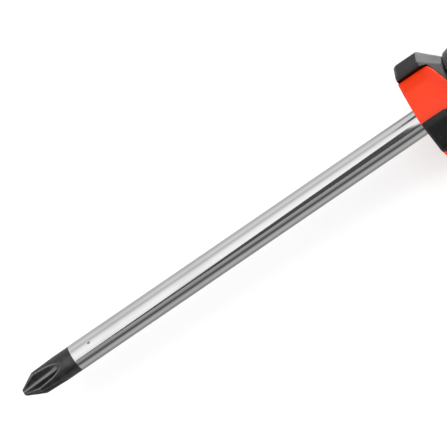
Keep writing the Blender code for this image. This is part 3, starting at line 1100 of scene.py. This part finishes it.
def make_slot_cutter(name, turn):
    """A bar with round ends and sloping sides, sunk into the cap's face."""
    shift = CROSS_HALF_LENGTH - CROSS_HALF_WIDTH
    rings = []
    for depth, grow in ((-CROSS_DEPTH, -CROSS_DRAFT), (0.0, 0.0), CROSS_ABOVE):
        half = CROSS_HALF_WIDTH + grow
        ring = []
        for angle in even_angles(CROSS_SIDES):
            y = half * math.sin(angle)
            y += shift if math.sin(angle) >= 0 else -shift
            z = half * math.cos(angle)
            ring.append(quarter_turn((END_X + depth, y, z), turn))
        rings.append(ring)
    points, faces = skin(rings)
    return add_mesh(name, points, faces)


# Studio


def make_floor(material):
    angles = even_angles(FLOOR_SIDES)
    ring = [(FLOOR_RADIUS * math.cos(a), FLOOR_RADIUS * math.sin(a), 0.0) for a in angles]
    mesh = bpy.data.meshes.new("floor")
    mesh.from_pydata(ring, [], [tuple(range(FLOOR_SIDES))])
    mesh.materials.append(material)
    floor = bpy.data.objects.new("floor", mesh)
    floor.location = (GUARD_X, 0, FLOOR_Z - FLOOR_DROP)
    bpy.context.scene.collection.objects.link(floor)


def make_glow(name, stops, turning):
    """An emission that follows its stops: degrees round the tool if turning, or metres along Y."""
    material = bpy.data.materials.new(name)
    material.use_nodes = True
    nodes, links = material.node_tree.nodes, material.node_tree.links
    nodes.clear()
    split = nodes.new("ShaderNodeSeparateXYZ")
    links.new(nodes.new("ShaderNodeTexCoord").outputs["Object"], split.inputs["Vector"])
    position = split.outputs["Y"]
    unit = 1.0
    if turning:
        angle = nodes.new("ShaderNodeMath")
        angle.operation = "ARCTAN2"
        links.new(position, angle.inputs[0])
        links.new(split.outputs["Z"], angle.inputs[1])
        position = angle.outputs["Value"]
        unit = math.radians(1)
    start, end = stops[0][0], stops[-1][0]
    reach = nodes.new("ShaderNodeMapRange")
    reach.inputs["From Min"].default_value = start * unit
    reach.inputs["From Max"].default_value = end * unit
    links.new(position, reach.inputs["Value"])
    ramp = nodes.new("ShaderNodeValToRGB")
    elements = ramp.color_ramp.elements
    while len(elements) < len(stops):
        elements.new(1.0)
    for element, (place, radiance) in zip(elements, stops):
        element.position = (place - start) / (end - start)
        level = radiance / BRIGHTEST
        element.color = (level, level, level, 1.0)
    links.new(reach.outputs["Result"], ramp.inputs["Fac"])
    emission = nodes.new("ShaderNodeEmission")
    emission.inputs["Strength"].default_value = BRIGHTEST
    links.new(ramp.outputs["Color"], emission.inputs["Color"])
    links.new(emission.outputs["Emission"], nodes.new("ShaderNodeOutputMaterial").inputs["Surface"])
    return material


def make_even_glow(name, radiance):
    return make_glow(name, ((-1, radiance), (1, radiance)), False)


def add_mirrored(name, points, faces, material):
    """A stage object that only shows in the mirror images on shiny surfaces."""
    mesh = bpy.data.meshes.new(name)
    mesh.from_pydata(points, [], faces)
    mesh.materials.append(material)
    card = bpy.data.objects.new(name, mesh)
    card.visible_camera = False
    card.visible_diffuse = False
    card.visible_shadow = False
    card.visible_transmission = False
    bpy.context.scene.collection.objects.link(card)


def make_mirrored_studio():
    """A dome round the tool, a pale table under it with a painted shadow of the tool, and cards that
    draw the chrome's stripes.
    """
    rings = round_rings([(x, same(DOME_RADIUS)) for x, _ in DOME_ENDS], even_angles(DOME_SIDES))
    walls = []
    for here in range(DOME_SIDES):
        there = (here + 1) % DOME_SIDES
        walls.append((here, here + DOME_SIDES, there + DOME_SIDES, there))
    add_mirrored("dome", rings[0] + rings[1], walls, make_glow("dome_glow", DOME_GLOW, True))
    for index, (ring, (_, radiance)) in enumerate(zip(rings, DOME_ENDS)):
        name = f"dome_end_{index + 1}"
        add_mirrored(name, ring, [tuple(range(DOME_SIDES))], make_even_glow(name, radiance))
    low, high = TABLE_ENDS
    corners = ((low, -1), (high, -1), (high, 1), (low, 1))
    table = [(x, side * DOME_RADIUS, TABLE_Z) for x, side in corners]
    add_mirrored("table", table, [(0, 1, 2, 3)], make_glow("table_glow", TABLE_GLOW, False))
    for name, radiance, corners in CARDS:
        points = [Vector(corner) * MM for corner in corners]
        add_mirrored(name, points, [tuple(range(len(points)))], make_even_glow(name, radiance))


def make_key_light():
    """A wide sun overhead for the matt surfaces, left out of the mirror images."""
    light = bpy.data.lights.new("key_light", "SUN")
    light.energy = KEY_LIGHT
    light.angle = KEY_WIDTH
    sun = bpy.data.objects.new("key_light", light)
    sun.visible_glossy = False
    bpy.context.scene.collection.objects.link(sun)


def make_world(strength):
    world = bpy.data.worlds.new("studio")
    world.use_nodes = True
    background = world.node_tree.nodes["Background"]
    background.inputs["Color"].default_value = (1, 1, 1, 1)
    background.inputs["Strength"].default_value = strength
    bpy.context.scene.world = world
    world.cycles_visibility.glossy = False


def make_camera():
    """The camera stands above the tool, off towards -Y and the handle, and is rolled round its aim."""
    across = Vector((0, math.cos(CAMERA_LEAN), math.sin(CAMERA_LEAN)))
    above = Vector((0, -math.sin(CAMERA_LEAN), math.cos(CAMERA_LEAN)))
    tool = Vector((1, 0, 0))
    back = above * math.cos(CAMERA_TILT) + tool * math.sin(CAMERA_TILT)
    along = tool * math.cos(CAMERA_TILT) - above * math.sin(CAMERA_TILT)
    right = along * math.cos(CAMERA_ROLL) - across * math.sin(CAMERA_ROLL)
    up = along * math.sin(CAMERA_ROLL) + across * math.cos(CAMERA_ROLL)
    data = bpy.data.cameras.new("camera")
    data.angle = 2 * math.atan(VIEW_WIDTH / 2 / CAMERA_DISTANCE)
    data.clip_start, data.clip_end = CAMERA_REACH
    camera = bpy.data.objects.new("camera", data)
    turn = Matrix((right, up, back)).transposed().to_4x4()
    camera.matrix_world = Matrix.Translation(CAMERA_AIM + back * CAMERA_DISTANCE) @ turn
    bpy.context.scene.collection.objects.link(camera)
    bpy.context.scene.camera = camera


def make_studio():
    make_camera()
    make_floor(make_floor_material())
    make_world(DAYLIGHT)
    make_key_light()
    make_mirrored_studio()
    bpy.context.scene.view_settings.view_transform = "Standard"


make_studio()
make_blade(make_chrome(), make_oxide())
make_core(make_core_plastic())
red_plastic = make_red_plastic()
make_guard_panels(red_plastic)
make_windows(red_plastic)
make_shell(red_plastic)
make_grip(make_grip_rubber())
make_cap(make_cap_plastic())
